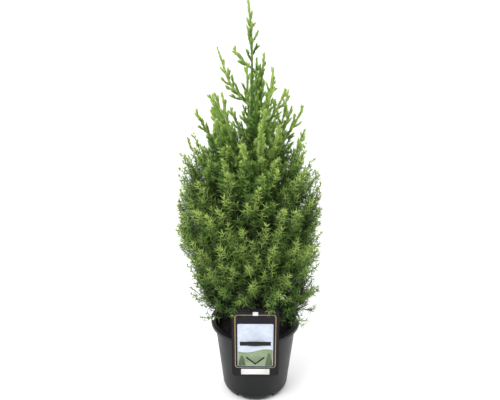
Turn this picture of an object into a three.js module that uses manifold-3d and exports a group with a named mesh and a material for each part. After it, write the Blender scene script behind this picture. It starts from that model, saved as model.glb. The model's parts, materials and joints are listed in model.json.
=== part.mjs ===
// A young Chinese juniper in a round plastic nursery pot, with a card label hung on the rim.
// Millimetres, +Z up. The origin is the middle of the pot's flat underside, and the label faces -Y.
import * as THREE from "three";
import { mergeVertices } from "three/addons/utils/BufferGeometryUtils.js";
import Module from "manifold-3d";

const wasm = await Module();
wasm.setup();

// Pot and soil
const POT_HEIGHT = 170;
const RIM_RADIUS = 95;
const LIP_HEIGHT = 8.5;
const LIP_THICK = 1.8;
const WALL_THICK = 2;
const WALL_TOP_RADIUS = 87.6;
const WALL_FOOT_RADIUS = 70.8;
const WALL_FOOT_HEIGHT = 18;
const BASE_RADIUS = 61.5;
const BASE_THICK = 2.5;
const PAD_RADIUS = 36;
const PAD_DRAFT = 2;
const FLOOR_RAISE = 13.5;
const FOOT_WIDTH = 5;
const POT_SIDES = 36;
const NOTCH_COUNT = 6;
const NOTCH_WIDTH = 17;
const NOTCH_HEIGHT = 12.5;
const NOTCH_REACH = 13;
const HOOK_SLOT = { width: 3.8, length: 20, radius: 90.6 };
const SOIL_LEVEL = 146;
const SOIL_DIP = 4;

// Label card
const CARD_WIDTH = 97;
const CARD_ABOVE_RIM = 84;
const CARD_BELOW_RIM = 92.5;
const CARD_THICK = 0.8;
const CARD_CORNER = 9;
const CARD_TILT = 5.4;
const CARD_DEPTH = 90.6;
const CARD_SLOT = { halfWidth: 32, height: 10.5 };
const CHEVRON = { halfWidth: 19, shoulder: -39, point: -57, band: 4.5 };

// Trunk and crown
const GAP = 0.3;
const GRIDS = [0.02, 0.013, 0.03, 0.05, 0.017, 0.023, 0.011, 0.037, 0.007];
const TIP_HEIGHT = 843;
const TRUNK_TOP = 714;
const TRUNK_LEAN = -8;
const LEADER_LEAN = -11;
const TRUNK_RADIUS = { flare: 13, foot: 8.4, top: 1.5 };
const FLARE_HEIGHT = 22;
const WIDEST = { radius: 155, height: 430 };
const SKIRT = { radius: 115, height: 195 };
const SHOULDER_POWER = 1.4;
const SKIRT_POWER = 0.9;
const CROWN_LEAN = -13;
const CROWN_FRINGE = 12;

// Shoots, counted from the top of the crown down
const SHOOT_COUNT = 31;
const FIRST_AZIMUTH = 180;
const GOLDEN_ANGLE = 137.5;
const FIRST_TIP = 735;
const TIP_STEP = 17.7;
const TIP_STEP_GROWTH = -0.045;
const BOUGHS_FROM = 8;
const BOUGH_SHARE = 0.15;
const FIRST_FOOT = 645;
const LAST_FOOT = 176;
const FOOT_POWER = 0.5;
const TIP_SHARE = { least: 0.86, most: 1 };
const BEND = { out: 0.8, up: 0.32 };
const LABEL_SIDE = 32;
const LABEL_CLEAR = 43;
const LABEL_BEND = { out: 0.5, up: 0.9 };
const SEED = 20261127;

// Twigs and sprays of needles
const TWIG_SPACING = 18;
const FEWEST_TWIGS = 9;
const TWIG_LEAN = { foot: 68, tip: 30 };
const STEM_RADIUS = 2;
const TWIG_RADIUS = { foot: 1.4, tip: 1 };
const SPRAY = { length: 48, width: 34, thick: 4, share: 0.66 };
const CELL_MARGIN = 1.3;
const CARD_ROOM = 11;
const FREE_STEP = 3;
const SHORTEST_TWIG = 12;
const LIMB_MARGIN = 1.2;
const CORE = { from: 0.06, to: 0.82, sides: 6, steps: 5, tuft: 0.4, hollow: 0.2, lean: 0.8, least: 3 };

const UP = new THREE.Vector3(0, 1, 0);
const LABEL_TOP = POT_HEIGHT + CARD_ABOVE_RIM;
const rad = THREE.MathUtils.degToRad;
const lerp = THREE.MathUtils.lerp;

// Seeded chance from 0 to 1 that depends only on its three whole-number keys
function chance(mass, twig, channel) {
  let h = Math.imul(mass + 1, 374761393) ^ Math.imul(twig + 1, 668265263);
  h ^= Math.imul(channel + 1, 2246822519) ^ SEED;
  h = Math.imul(h ^ (h >>> 15), 2246822519);
  h = Math.imul(h ^ (h >>> 13), 3266489917);
  return ((h ^ (h >>> 16)) >>> 0) / 4294967296;
}

// Solids and geometries

function solidOf(geometry) {
  const bare = geometry.clone();
  bare.deleteAttribute("normal");
  bare.deleteAttribute("uv");
  const merged = mergeVertices(bare, 1e-4);
  const vertProperties = new Float32Array(merged.attributes.position.array);
  const triVerts = new Uint32Array(merged.index.array);
  return new wasm.Manifold(new wasm.Mesh({ numProp: 3, vertProperties, triVerts }));
}

// The mesh of a solid, its corners on the first grid that leaves every edge between two faces
function geometryOf(solid) {
  return GRIDS.map((grid) => gridGeometry(solid, grid)).find(isClosed);
}

function gridGeometry(solid, grid) {
  const mesh = solid.getMesh();
  const loose = new THREE.BufferGeometry();
  const onGrid = mesh.vertProperties.map((value) => Math.round(value / grid) * grid);
  loose.setAttribute("position", new THREE.BufferAttribute(onGrid, 3));
  loose.setIndex(new THREE.BufferAttribute(mesh.triVerts, 1));
  const geometry = mergeVertices(loose, grid / 10);
  geometry.setIndex(facesOf(geometry).filter(([a, b, c]) => a !== b && b !== c && c !== a).flat());
  geometry.computeVertexNormals();
  return geometry;
}

function facesOf(geometry) {
  const { array } = geometry.index;
  return Array.from({ length: array.length / 3 }, (_, i) => Array.from(array.slice(3 * i, 3 * i + 3)));
}

function isClosed(geometry) {
  const edges = facesOf(geometry).flatMap(([a, b, c]) => [`${a} ${b}`, `${b} ${c}`, `${c} ${a}`]);
  const known = new Set(edges);
  const reversed = (edge) => edge.split(" ").reverse().join(" ");
  return known.size === edges.length && edges.every((edge) => known.has(reversed(edge)));
}

// The largest outer shell: loose scraps and sealed hollows are left out
function mainBody(solid) {
  return solid.decompose().reduce((best, body) => (body.volume() > best.volume() ? body : best));
}

function box(width, depth, height, x, y, z) {
  return new THREE.BoxGeometry(width, depth, height).translate(x, y, z);
}

// A round limb along a curve; radiusAt(share, angle) is its radius at a share of the curve.
// lean pushes each point forward along the curve, in proportion to that radius.
function limb(curve, side, radiusAt, sides, steps, lean = 0) {
  const shape = new THREE.CylinderGeometry(1, 1, 1, sides, steps);
  const position = shape.getAttribute("position");
  const local = new THREE.Vector3();
  for (let i = 0; i < position.count; i++) {
    local.fromBufferAttribute(position, i);
    const share = local.y + 0.5;
    const across = crossAxes(curve, side, share);
    const reach = Math.hypot(local.x, local.z) > 0.5 ? radiusAt(share, Math.atan2(local.z, local.x)) : 0;
    const point = curve.getPoint(share);
    point.addScaledVector(across.outward, local.x * reach);
    point.addScaledVector(side, local.z * reach);
    point.addScaledVector(across.tangent, lean * reach);
    position.setXYZ(i, point.x, point.y, point.z);
  }
  return shape;
}

// Tangent of a curve in an upright plane, and the axis across it in that plane
function crossAxes(curve, side, share) {
  const tangent = curve.getTangent(share);
  return { tangent, outward: new THREE.Vector3().crossVectors(tangent, side) };
}

// Crown rules

function crownRadius(height) {
  if (height > WIDEST.height) {
    const share = (height - WIDEST.height) / (TIP_HEIGHT - WIDEST.height);
    return WIDEST.radius * (1 - share ** SHOULDER_POWER);
  }
  const share = (WIDEST.height - height) / (WIDEST.height - SKIRT.height);
  return lerp(WIDEST.radius, SKIRT.radius, share ** SKIRT_POWER);
}

// The crown's middle leans to one side, most of all halfway up
function crownMiddle(height) {
  const share = THREE.MathUtils.clamp((height - SKIRT.height) / (TIP_HEIGHT - SKIRT.height), 0, 1);
  return CROWN_LEAN * Math.sin(Math.PI * share) + TRUNK_LEAN * share * 0.6;
}

// Upright at the soil and at its top, with the lean in between
const trunkCurve = new THREE.CubicBezierCurve3(
  new THREE.Vector3(0, 0, SOIL_LEVEL + GAP),
  new THREE.Vector3(0, 0, lerp(SOIL_LEVEL, TRUNK_TOP, 1 / 3)),
  new THREE.Vector3(TRUNK_LEAN, 0, lerp(SOIL_LEVEL, TRUNK_TOP, 2 / 3)),
  new THREE.Vector3(TRUNK_LEAN, 0, TRUNK_TOP),
);

function trunkRadius(share) {
  const height = share * (TRUNK_TOP - SOIL_LEVEL);
  const flare = (TRUNK_RADIUS.flare - TRUNK_RADIUS.foot) * Math.exp((-3 * height) / FLARE_HEIGHT);
  return lerp(TRUNK_RADIUS.foot, TRUNK_RADIUS.top, share ** 0.9) + flare;
}

function trunkPoint(height) {
  return trunkCurve.getPoint((height - SOIL_LEVEL) / (TRUNK_TOP - SOIL_LEVEL));
}

// How far a mass of foliage spreads from its stem
function reachAt(height) {
  const low = THREE.MathUtils.smoothstep(height, SKIRT.height, WIDEST.height);
  const high = THREE.MathUtils.clamp((height - WIDEST.height) / (FIRST_TIP - WIDEST.height), 0, 1);
  return lerp(lerp(74, 88, low), 22, high);
}

function shootRule(index) {
  const azimuth = (FIRST_AZIMUTH + GOLDEN_ANGLE * index) % 360;
  const rule = FIRST_TIP - TIP_STEP * index - TIP_STEP_GROWTH * index ** 2;
  const overLabel = Math.abs(azimuth - 270) < LABEL_SIDE && rule < LABEL_TOP + LABEL_CLEAR;
  const height = overLabel ? LABEL_TOP + LABEL_CLEAR : rule;
  const radius = crownRadius(height) * lerp(TIP_SHARE.least, TIP_SHARE.most, chance(index, 0, 1));
  const down = (index / (SHOOT_COUNT - 1)) ** FOOT_POWER;
  const foot = trunkPoint(lerp(FIRST_FOOT, LAST_FOOT, down));
  const tip = new THREE.Vector3(
    crownMiddle(height) + radius * Math.cos(rad(azimuth)),
    radius * Math.sin(rad(azimuth)),
    height,
  );
  const path = shootCurve(foot, tip, overLabel ? LABEL_BEND : BEND);
  return { index, azimuth, foot, tip, reach: reachAt(height), ...path };
}

// A shoot leaves the trunk outwards and bends up, in one upright plane
function shootCurve(foot, tip, { out, up }) {
  const bend = new THREE.Vector3().lerpVectors(foot, tip, out);
  bend.z = lerp(foot.z, tip.z, up);
  const curve = new THREE.QuadraticBezierCurve3(foot, bend, tip);
  const run = new THREE.Vector3().subVectors(tip, foot).setZ(0).normalize();
  return { curve, side: new THREE.Vector3(-run.y, run.x, 0) };
}

// The stretch of a quadratic curve between two shares of it, as a curve of its own
function stretch(curve, from, to) {
  const start = curve.getPoint(from);
  const end = curve.getPoint(to);
  const bend = start.clone().addScaledVector(derivative(curve, from), (to - from) / 2);
  return new THREE.QuadraticBezierCurve3(start, bend, end);
}

function derivative(curve, share) {
  const first = new THREE.Vector3().subVectors(curve.v1, curve.v0);
  const second = new THREE.Vector3().subVectors(curve.v2, curve.v1);
  return first.lerp(second, share).multiplyScalar(2);
}

// Trunk and boughs

function trunkLimb(extra) {
  return limb(trunkCurve, new THREE.Vector3(0, 1, 0), (share) => trunkRadius(share) + extra, 9, 10);
}

const trunkClear = solidOf(trunkLimb(GAP));

function boughRadius(shoot, share) {
  const foot = lerp(2, 3.6, THREE.MathUtils.clamp((600 - shoot.foot.z) / 400, 0, 1));
  return lerp(foot, foot * 0.6, share);
}

function boughSolid(shoot) {
  const curve = stretch(shoot.curve, 0, BOUGH_SHARE);
  const whole = solidOf(limb(curve, shoot.side, (share) => boughRadius(shoot, share), 5, 3));
  return mainBody(whole.subtract(trunkClear));
}

// Masses of foliage

const leader = {
  index: SHOOT_COUNT,
  azimuth: 0,
  reach: 22,
  side: new THREE.Vector3(0, 1, 0),
  stem: new THREE.QuadraticBezierCurve3(
    new THREE.Vector3(TRUNK_LEAN, 0, TRUNK_TOP + GAP),
    new THREE.Vector3(TRUNK_LEAN, 0, lerp(TRUNK_TOP, TIP_HEIGHT, 0.5)),
    new THREE.Vector3(LEADER_LEAN, 0, TIP_HEIGHT - SPRAY.length * 0.75),
  ),
};
const shoots = Array.from({ length: SHOOT_COUNT }, (_, index) => shootRule(index));
for (const shoot of shoots) {
  const gapShare = GAP / shoot.curve.getLength();
  const from = shoot.index < BOUGHS_FROM ? 0 : BOUGH_SHARE + gapShare;
  shoot.stem = stretch(shoot.curve, from, 0.9);
}
const masses = [...shoots, leader];

// Each mass keeps to the space that lies nearer to its own stem than to any other
for (const mass of masses) mass.spots = mass.stem.getPoints(9);

function nearness(mass, point) {
  return Math.min(...mass.spots.map((spot) => spot.distanceTo(point))) - mass.reach;
}

function insideCell(mass, point, margin = CELL_MARGIN) {
  const own = nearness(mass, point) + 2 * margin;
  return masses.every((other) => other === mass || nearness(other, point) > own);
}

// Limbs as chains of balls, to test what comes too close to them
const limbBalls = [];
for (let i = 0; i <= 90; i++) {
  limbBalls.push({ centre: trunkCurve.getPoint(i / 90), radius: trunkRadius(i / 90) });
}
for (const shoot of shoots.filter(({ index }) => index >= BOUGHS_FROM)) {
  for (let i = 0; i <= 12; i++) {
    const centre = shoot.curve.getPoint((i / 12) * BOUGH_SHARE);
    limbBalls.push({ centre, radius: boughRadius(shoot, i / 12) });
  }
}

function clearOfLimbs(point) {
  return limbBalls.every(({ centre, radius }) => centre.distanceTo(point) > radius + LIMB_MARGIN);
}

function clearOfPot(point) {
  const out = Math.hypot(point.x, point.y);
  const depth = cardDepth(point.z);
  const nearCard = point.z < LABEL_TOP + CARD_ROOM && Math.abs(point.x) < CARD_WIDTH / 2 + CARD_ROOM;
  if (nearCard && Math.abs(-point.y - depth) < CARD_ROOM) return false;
  if (point.z > POT_HEIGHT + 2) return true;
  if (out > RIM_RADIUS + 2) return true;
  return out < WALL_FOOT_RADIUS && point.z > SOIL_LEVEL + 4;
}

function cardDepth(height) {
  return CARD_DEPTH + (height - POT_HEIGHT) * Math.tan(rad(CARD_TILT));
}

function insideCrown(point) {
  return Math.hypot(point.x - crownMiddle(point.z), point.y) < crownRadius(point.z) + CROWN_FRINGE;
}

function isFree(mass, point) {
  return insideCrown(point) && insideCell(mass, point) && clearOfLimbs(point) && clearOfPot(point);
}

// How far a straight line runs before it leaves its mass's space, up to a given length
function freeLength(mass, from, direction, most) {
  let length = 0;
  while (length < most) {
    const next = Math.min(most, length + FREE_STEP);
    if (!isFree(mass, from.clone().addScaledVector(direction, next))) break;
    length = next;
  }
  return length;
}

function reaches(mass, from, to) {
  const direction = to.clone().sub(from);
  const length = direction.length();
  return freeLength(mass, from, direction.divideScalar(length), length) === length;
}

// A three-sided twig that ends in a spray of needles: a thin blade, one long point between two short ones
function twigGeometry(wood, length, width) {
  const { foot, tip } = TWIG_RADIUS;
  const back = -tip / 2;
  const across = width / 2;
  const vertices = [
    [-foot, 0, -foot / 2],
    [foot, 0, -foot / 2],
    [0, 0, foot],
    [-tip, wood, back],
    [tip, wood, back],
    [0, wood, SPRAY.thick / 2],
    [across, wood + 0.66 * length, back],
    [0.3 * across, wood + 0.42 * length, back],
    [0, wood + length, back],
    [-0.3 * across, wood + 0.42 * length, back],
    [-across, wood + 0.66 * length, back],
  ];
  const rod = [[0, 1, 2], [0, 3, 4], [0, 4, 1], [1, 4, 5], [1, 5, 2], [0, 2, 5], [0, 5, 3]];
  const bladeBack = [[4, 7, 6], [3, 10, 9], [4, 9, 7], [4, 3, 9], [7, 9, 8]];
  const bladeFront = [[4, 6, 5], [6, 7, 5], [7, 8, 5], [8, 9, 5], [9, 10, 5], [10, 3, 5]];
  const geometry = new THREE.BufferGeometry();
  geometry.setAttribute("position", new THREE.Float32BufferAttribute(vertices.flat(), 3));
  geometry.setIndex([...rod, ...bladeBack, ...bladeFront].flat());
  return geometry;
}

// Sets a shape that grows along +Y on a point, along a direction, turned by roll
function grow(geometry, from, direction, roll) {
  const turn = new THREE.Quaternion().setFromUnitVectors(UP, direction);
  turn.multiply(new THREE.Quaternion().setFromAxisAngle(UP, roll));
  return geometry.applyMatrix4(new THREE.Matrix4().compose(from, turn, new THREE.Vector3(1, 1, 1)));
}

// The blade's outer corners follow the six of its twig
function bladeCorners(geometry) {
  const position = geometry.getAttribute("position");
  const corner = (i) => new THREE.Vector3().fromBufferAttribute(position, i);
  return { root: corner(5), outer: [6, 7, 8, 9, 10].map(corner) };
}

// Longest twigs a third of the way up the stem, shortest at its tip
function twigLength(mass, share, twig) {
  const form = share < 0.3 ? lerp(0.72, 1, share / 0.3) : lerp(1, 0.4, (share - 0.3) / 0.7);
  return mass.reach * form * lerp(0.8, 1.05, chance(mass.index, twig, 2));
}

function twigDirection(mass, share, twig) {
  const { tangent, outward } = crossAxes(mass.stem, mass.side, share);
  const turn = rad(GOLDEN_ANGLE * twig + 40 * chance(mass.index, twig, 3));
  const lean = rad(lerp(TWIG_LEAN.foot, TWIG_LEAN.tip, share) + lerp(-12, 12, chance(mass.index, twig, 5)));
  return tangent
    .multiplyScalar(Math.cos(lean))
    .addScaledVector(outward, Math.sin(lean) * Math.cos(turn))
    .addScaledVector(mass.side, Math.sin(lean) * Math.sin(turn))
    .normalize();
}

// A twig as long as its space lets it be, with the widest blade that fits there
function twigAt(mass, from, direction, most, roll) {
  const free = freeLength(mass, from, direction, most);
  if (free < SHORTEST_TWIG) return [];
  const length = Math.min(SPRAY.length, SPRAY.share * free);
  for (const narrowing of [1, 0.6, 0.35]) {
    const width = SPRAY.width * (length / SPRAY.length) * narrowing;
    const twig = grow(twigGeometry(free - length, length, width), from, direction, roll);
    const { root, outer } = bladeCorners(twig);
    if (outer.every((corner) => reaches(mass, root, corner))) return [twig];
  }
  return [];
}

function twigsOf(mass) {
  const count = Math.max(FEWEST_TWIGS, Math.round(mass.stem.getLength() / TWIG_SPACING));
  return Array.from({ length: count }, (_, twig) => {
    const share = lerp(CORE.from, CORE.to, (twig + 0.5) / count);
    const roll = 2 * Math.PI * chance(mass.index, twig, 4);
    const direction = twigDirection(mass, share, twig);
    return twigAt(mass, mass.stem.getPoint(share), direction, twigLength(mass, share, twig), roll);
  }).flat();
}

// The dense inside of a mass: tufts all round its stem, as wide as its own space allows
function coreGeometry(mass) {
  const curve = stretch(mass.stem, CORE.from, CORE.to);
  const isTuft = (share, angle) => {
    const ringIndex = Math.round(share * CORE.steps);
    const sideIndex = Math.round((angle / (2 * Math.PI)) * CORE.sides);
    return (ringIndex + sideIndex) % 2 !== 0;
  };
  const radiusAt = (share, angle) => {
    const form = Math.sin(Math.PI * lerp(0.12, 0.95, share));
    const spread = mass.reach * form * (isTuft(share, angle) ? CORE.tuft : CORE.hollow);
    const { tangent, outward } = crossAxes(curve, mass.side, share);
    const ray = outward.multiplyScalar(Math.cos(angle)).addScaledVector(mass.side, Math.sin(angle));
    ray.addScaledVector(tangent, CORE.lean);
    const slant = ray.length();
    const free = freeLength(mass, curve.getPoint(share), ray.divideScalar(slant), spread * slant);
    return Math.max(CORE.least, free / slant);
  };
  return limb(curve, mass.side, radiusAt, CORE.sides, CORE.steps, CORE.lean);
}

// The last twig of a mass runs on from its core to the end of its stem
function tipTwig(mass) {
  const from = mass.stem.getPoint(CORE.to);
  const run = mass.stem.getPoint(1).sub(from);
  const twig = twigGeometry(run.length() * 0.75, SPRAY.length * 0.9, SPRAY.width * 0.55);
  return grow(twig, from, run.normalize(), Math.PI * chance(mass.index, 0, 9));
}

// The bare foot of a stem, up to where the core surrounds it
function stemFoot(mass) {
  return limb(stretch(mass.stem, 0, 2 * CORE.from), mass.side, () => STEM_RADIUS, 5, 1);
}

function massSolid(mass) {
  const pieces = [stemFoot(mass), coreGeometry(mass), ...twigsOf(mass), tipTwig(mass)];
  const whole = wasm.Manifold.union(pieces.map(solidOf));
  const onTrunk = mass.index < BOUGHS_FROM;
  return mainBody(onTrunk ? whole.subtract(trunkClear) : whole);
}

// Pot, soil and label

function wallRadius(height) {
  const share = (height - WALL_FOOT_HEIGHT) / (POT_HEIGHT - WALL_FOOT_HEIGHT);
  return lerp(WALL_FOOT_RADIUS, WALL_TOP_RADIUS, share);
}

function ring(points) {
  const profile = points.map(([r, z]) => new THREE.Vector2(r, z));
  return new THREE.LatheGeometry(profile, POT_SIDES).rotateX(Math.PI / 2);
}

// The round corner between the feet and the wall
function cornerRadius(height) {
  return lerp(BASE_RADIUS, WALL_FOOT_RADIUS, 1 - (1 - height / WALL_FOOT_HEIGHT) ** 2);
}

// The inside of the pot's floor, from its middle out to the wall, or the soil's surface on it with a gap
function floorProfile(gap) {
  const well = PAD_RADIUS - BASE_THICK - 2 * gap;
  const floor = FLOOR_RAISE + BASE_THICK + gap;
  return [
    [0, BASE_THICK + gap],
    [well, BASE_THICK + gap],
    [well + PAD_DRAFT, floor],
    [WALL_FOOT_RADIUS - 2 * (WALL_THICK + gap), floor],
    [WALL_FOOT_RADIUS - WALL_THICK - gap, WALL_FOOT_HEIGHT],
  ];
}

// A flat pad in the middle, a raised floor round it, and a ring that the notches cut into feet
function potSolid() {
  const lipFoot = POT_HEIGHT - LIP_HEIGHT;
  const underFlange = POT_HEIGHT - LIP_THICK;
  const corner = [0.2, 0.5, 1].map((share) => share * WALL_FOOT_HEIGHT);
  const profile = [
    [0, 0],
    [PAD_RADIUS, 0],
    [PAD_RADIUS + PAD_DRAFT, FLOOR_RAISE],
    [cornerRadius(FLOOR_RAISE) - FOOT_WIDTH, FLOOR_RAISE],
    [BASE_RADIUS - FOOT_WIDTH, 0],
    [BASE_RADIUS, 0],
    ...corner.map((height) => [cornerRadius(height), height]),
    [wallRadius(underFlange), underFlange],
    [RIM_RADIUS - LIP_THICK, underFlange],
    [RIM_RADIUS - LIP_THICK, lipFoot],
    [RIM_RADIUS, lipFoot],
    [RIM_RADIUS, POT_HEIGHT],
    [wallRadius(POT_HEIGHT) - WALL_THICK, POT_HEIGHT],
    ...floorProfile(0).reverse(),
  ];
  const cuts = [];
  for (let i = 0; i < NOTCH_COUNT; i++) {
    const notch = box(2 * NOTCH_REACH, NOTCH_WIDTH, 2 * NOTCH_HEIGHT, BASE_RADIUS, 0, 0);
    cuts.push(notch.rotateZ((2 * Math.PI * i) / NOTCH_COUNT));
  }
  for (const side of [-1, 1]) {
    const { width, length, radius } = HOOK_SLOT;
    cuts.push(box(width, length, 3 * LIP_THICK, side * radius, 0, POT_HEIGHT));
  }
  return solidOf(ring(profile)).subtract(wasm.Manifold.union(cuts.map(solidOf)));
}

function soilSolid() {
  const inset = WALL_THICK + GAP;
  const edge = SOIL_LEVEL - SOIL_DIP;
  const profile = [
    ...floorProfile(GAP),
    [wallRadius(edge) - inset, edge],
    [wallRadius(edge) * 0.6, SOIL_LEVEL],
    [0, SOIL_LEVEL],
  ];
  return solidOf(ring(profile));
}

// A card with round corners and two cuts: the slot that hangs on the rim, and the tongue's V
function labelGeometry() {
  const half = CARD_WIDTH / 2;
  const turn = (x, y, angle) => outline.absarc(x, y, CARD_CORNER, rad(angle), rad(angle + 90));
  const outline = new THREE.Shape();
  turn(half - CARD_CORNER, CARD_CORNER - CARD_BELOW_RIM, -90);
  turn(half - CARD_CORNER, CARD_ABOVE_RIM - CARD_CORNER, 0);
  turn(CARD_CORNER - half, CARD_ABOVE_RIM - CARD_CORNER, 90);
  turn(CARD_CORNER - half, CARD_CORNER - CARD_BELOW_RIM, 180);
  const { halfWidth, height } = CARD_SLOT;
  const slot = [[-halfWidth, 0], [-halfWidth, -height], [halfWidth, -height], [halfWidth, 0]];
  const { halfWidth: arm, shoulder, point, band } = CHEVRON;
  const upper = [[arm, shoulder], [0, point], [-arm, shoulder]];
  const lower = [[-arm, shoulder - band], [0, point - band], [arm, shoulder - band]];
  const chevron = [...upper, ...lower];
  outline.holes = [slot, chevron].map((cut) => new THREE.Path(cut.map(([x, y]) => new THREE.Vector2(x, y))));
  return new THREE.ExtrudeGeometry(outline, { depth: CARD_THICK, bevelEnabled: false, curveSegments: 3 });
}

// Assembly

function finish(color, roughness) {
  return new THREE.MeshStandardMaterial({ color, roughness, metalness: 0, flatShading: true });
}

const potPlastic = finish(0x3c3e3f, 0.5);
const soilMix = finish(0x241c16, 1);
const cardBlack = finish(0x24242c, 0.45);
const bark = finish(0x6b5238, 0.9);
const needles = finish(0x5f8f35, 0.6);

const juniper = new THREE.Group();

function add(name, geometry, material, parent = juniper) {
  const mesh = new THREE.Mesh(geometry, material);
  mesh.name = name;
  parent.add(mesh);
}

add("pot", geometryOf(potSolid()), potPlastic);
add("soil", geometryOf(soilSolid()), soilMix);

const hanging = new THREE.Group();
hanging.position.set(0, -CARD_DEPTH, POT_HEIGHT + GAP);
hanging.rotation.x = Math.PI / 2 + rad(CARD_TILT);
juniper.add(hanging);
add("label_card", labelGeometry(), cardBlack, hanging);

add("trunk", trunkLimb(0), bark);
for (const shoot of shoots) {
  const number = String(shoot.index + 1).padStart(2, "0");
  if (shoot.index >= BOUGHS_FROM) add(`bough_${number}`, geometryOf(boughSolid(shoot)), bark);
  add(`foliage_${number}`, geometryOf(massSolid(shoot)), needles);
}
add("foliage_leader", geometryOf(massSolid(leader)), needles);

export default juniper;
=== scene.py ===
"""A young Chinese juniper in a nursery pot, dressed over its solids.

Sizes are in millimetres, as in the part's source, and meshes are made in metres. The crown grows by the
source's rule: shoots leave the trunk at the golden angle, and twigs leave the shoots. Here the shoots' stems
bear plumes that turn up and slim spires, and all of these bear tufts, sprigs and needles.
"""

import json
import math

import bpy
import numpy as np
from mathutils import Euler, Matrix, Vector, noise
from mathutils.geometry import tessellate_polygon

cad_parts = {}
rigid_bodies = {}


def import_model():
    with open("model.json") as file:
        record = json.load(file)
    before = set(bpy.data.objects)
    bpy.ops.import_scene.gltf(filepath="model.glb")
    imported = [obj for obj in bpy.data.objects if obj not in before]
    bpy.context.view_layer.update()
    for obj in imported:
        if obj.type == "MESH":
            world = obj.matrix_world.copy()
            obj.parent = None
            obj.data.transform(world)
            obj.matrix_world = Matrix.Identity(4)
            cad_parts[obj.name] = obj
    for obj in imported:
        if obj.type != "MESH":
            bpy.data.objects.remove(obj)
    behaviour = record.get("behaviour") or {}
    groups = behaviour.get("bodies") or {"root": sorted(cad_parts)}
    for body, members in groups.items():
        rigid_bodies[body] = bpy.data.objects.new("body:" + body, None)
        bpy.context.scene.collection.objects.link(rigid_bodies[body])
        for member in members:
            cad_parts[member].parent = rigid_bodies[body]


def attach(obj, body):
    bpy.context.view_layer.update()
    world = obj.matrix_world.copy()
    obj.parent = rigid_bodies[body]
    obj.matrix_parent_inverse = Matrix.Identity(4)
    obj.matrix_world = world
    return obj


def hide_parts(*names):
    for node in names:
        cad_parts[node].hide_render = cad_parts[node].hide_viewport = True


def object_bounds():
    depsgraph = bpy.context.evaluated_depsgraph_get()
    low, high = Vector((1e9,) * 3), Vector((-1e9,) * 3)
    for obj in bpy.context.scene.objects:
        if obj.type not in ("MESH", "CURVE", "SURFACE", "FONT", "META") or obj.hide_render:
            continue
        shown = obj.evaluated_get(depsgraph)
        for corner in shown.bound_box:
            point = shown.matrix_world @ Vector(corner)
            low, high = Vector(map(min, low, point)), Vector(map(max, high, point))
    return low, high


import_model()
cad_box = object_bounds()

MM = 0.001
BOX_LOW, BOX_HIGH = (np.array(corner) / MM for corner in cad_box)
UP = np.array([0.0, 0.0, 1.0])
LEVEL = np.array([1, 1, 0])

# Small values that keep a share below its end and a vector from having no length, the slope from which a
# heading counts as upright, and the points of a round corner
NEAR_END = 0.9999
NUDGE = 1e-6
MIDDLE_NUDGE = np.array([1e-3, 0, 0])
STEEP = 0.9
CORNER_POINTS = 7

# Pot and soil
POT_HEIGHT = 170
RIM_RADIUS = 95
LIP_HEIGHT = 8.5
LIP_THICK = 1.8
LIP_ROUND = 1.5
LIP_FILLET = 1
WALL_THICK = 2
WALL_TOP_RADIUS = 87.6
WALL_FOOT_RADIUS = 70.8
WALL_FOOT_HEIGHT = 18
WALL_RINGS = 12
WALL_RINGS_FROM = 25
BASE_RADIUS = 61.5
BASE_THICK = 2.5
PAD_RADIUS = 36
PAD_DRAFT = 2
FLOOR_RAISE = 13.5
FOOT_WIDTH = 5
FOOT_ROUND = 0.8
POT_SIDES = 180
POT_CREASE = 32
NOTCH_COUNT = 6
NOTCH = {"width": 17, "height": 12.5, "bend": 3, "reach": 13, "flare": 2, "below": 3}
HOOK_SLOT = {"width": 3.8, "length": 20, "radius": 90.6, "round": 1.2}
SOIL_LEVEL = 146
SOIL_DIP = 4
SOIL_DIP_FROM = 0.6
SOIL_RINGS = 70
SOIL_SIDES = 120

# Unevenness of the soil, as height, pitch and seed, and the loose crumbs on it
SOIL_LUMPS = [(2.6, 0.09, 3), (1.1, 0.31, 9)]
CRUMB = {"count": 700, "inset": 3, "sizes": (0.8, 3.2), "power": 3, "dents": (0.6, 1.3),
         "lengths": (0.6, 1.6), "lift": 0.2, "channel": 21}

# Label card, measured from where it hangs on the rim
CARD_WIDTH = 97
CARD_ABOVE_RIM = 84
CARD_BELOW_RIM = 92.5
CARD_THICK = 0.8
CARD_CORNER = 9
CARD_TILT = 5.4
CARD_DEPTH = 90.6
CARD_SLOT = {"half": 32, "height": 10.5}
CHEVRON = {"half": 19, "shoulder": -39, "point": -57, "band": 4.5}
PRINT_THICK = 0.08
GOLD_FRAME = {"half": 42.3, "top": 69.4, "bottom": -70.1, "corner": 7}
GOLD_LINE = 1.7
PANEL = {"half": 36.7, "top": 46, "bottom": -65.5, "corner": 3}
TOP_TAB = {"half": 5.7, "top": 76.5, "bottom": 67, "corner": 0.8}
STRIP = {"half": 29.7, "top": -73, "bottom": -88, "corner": 0.8}
PRINT_INSET = 1
PRINT_WIDE = PANEL["half"] - PRINT_INSET
PRINT_FLOOR = PANEL["bottom"] + PRINT_INSET
HILL = {"crest": -24, "sway": 4.5, "start": 0.2, "turns": 1.7, "points": 25}
MOUND = {"power": 0.8, "points": 17}
MOUND_GAP = 1.5
MOUND_EDGE = CHEVRON["half"] + MOUND_GAP
MOUND_CRESTS = (-36, -30)

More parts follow.
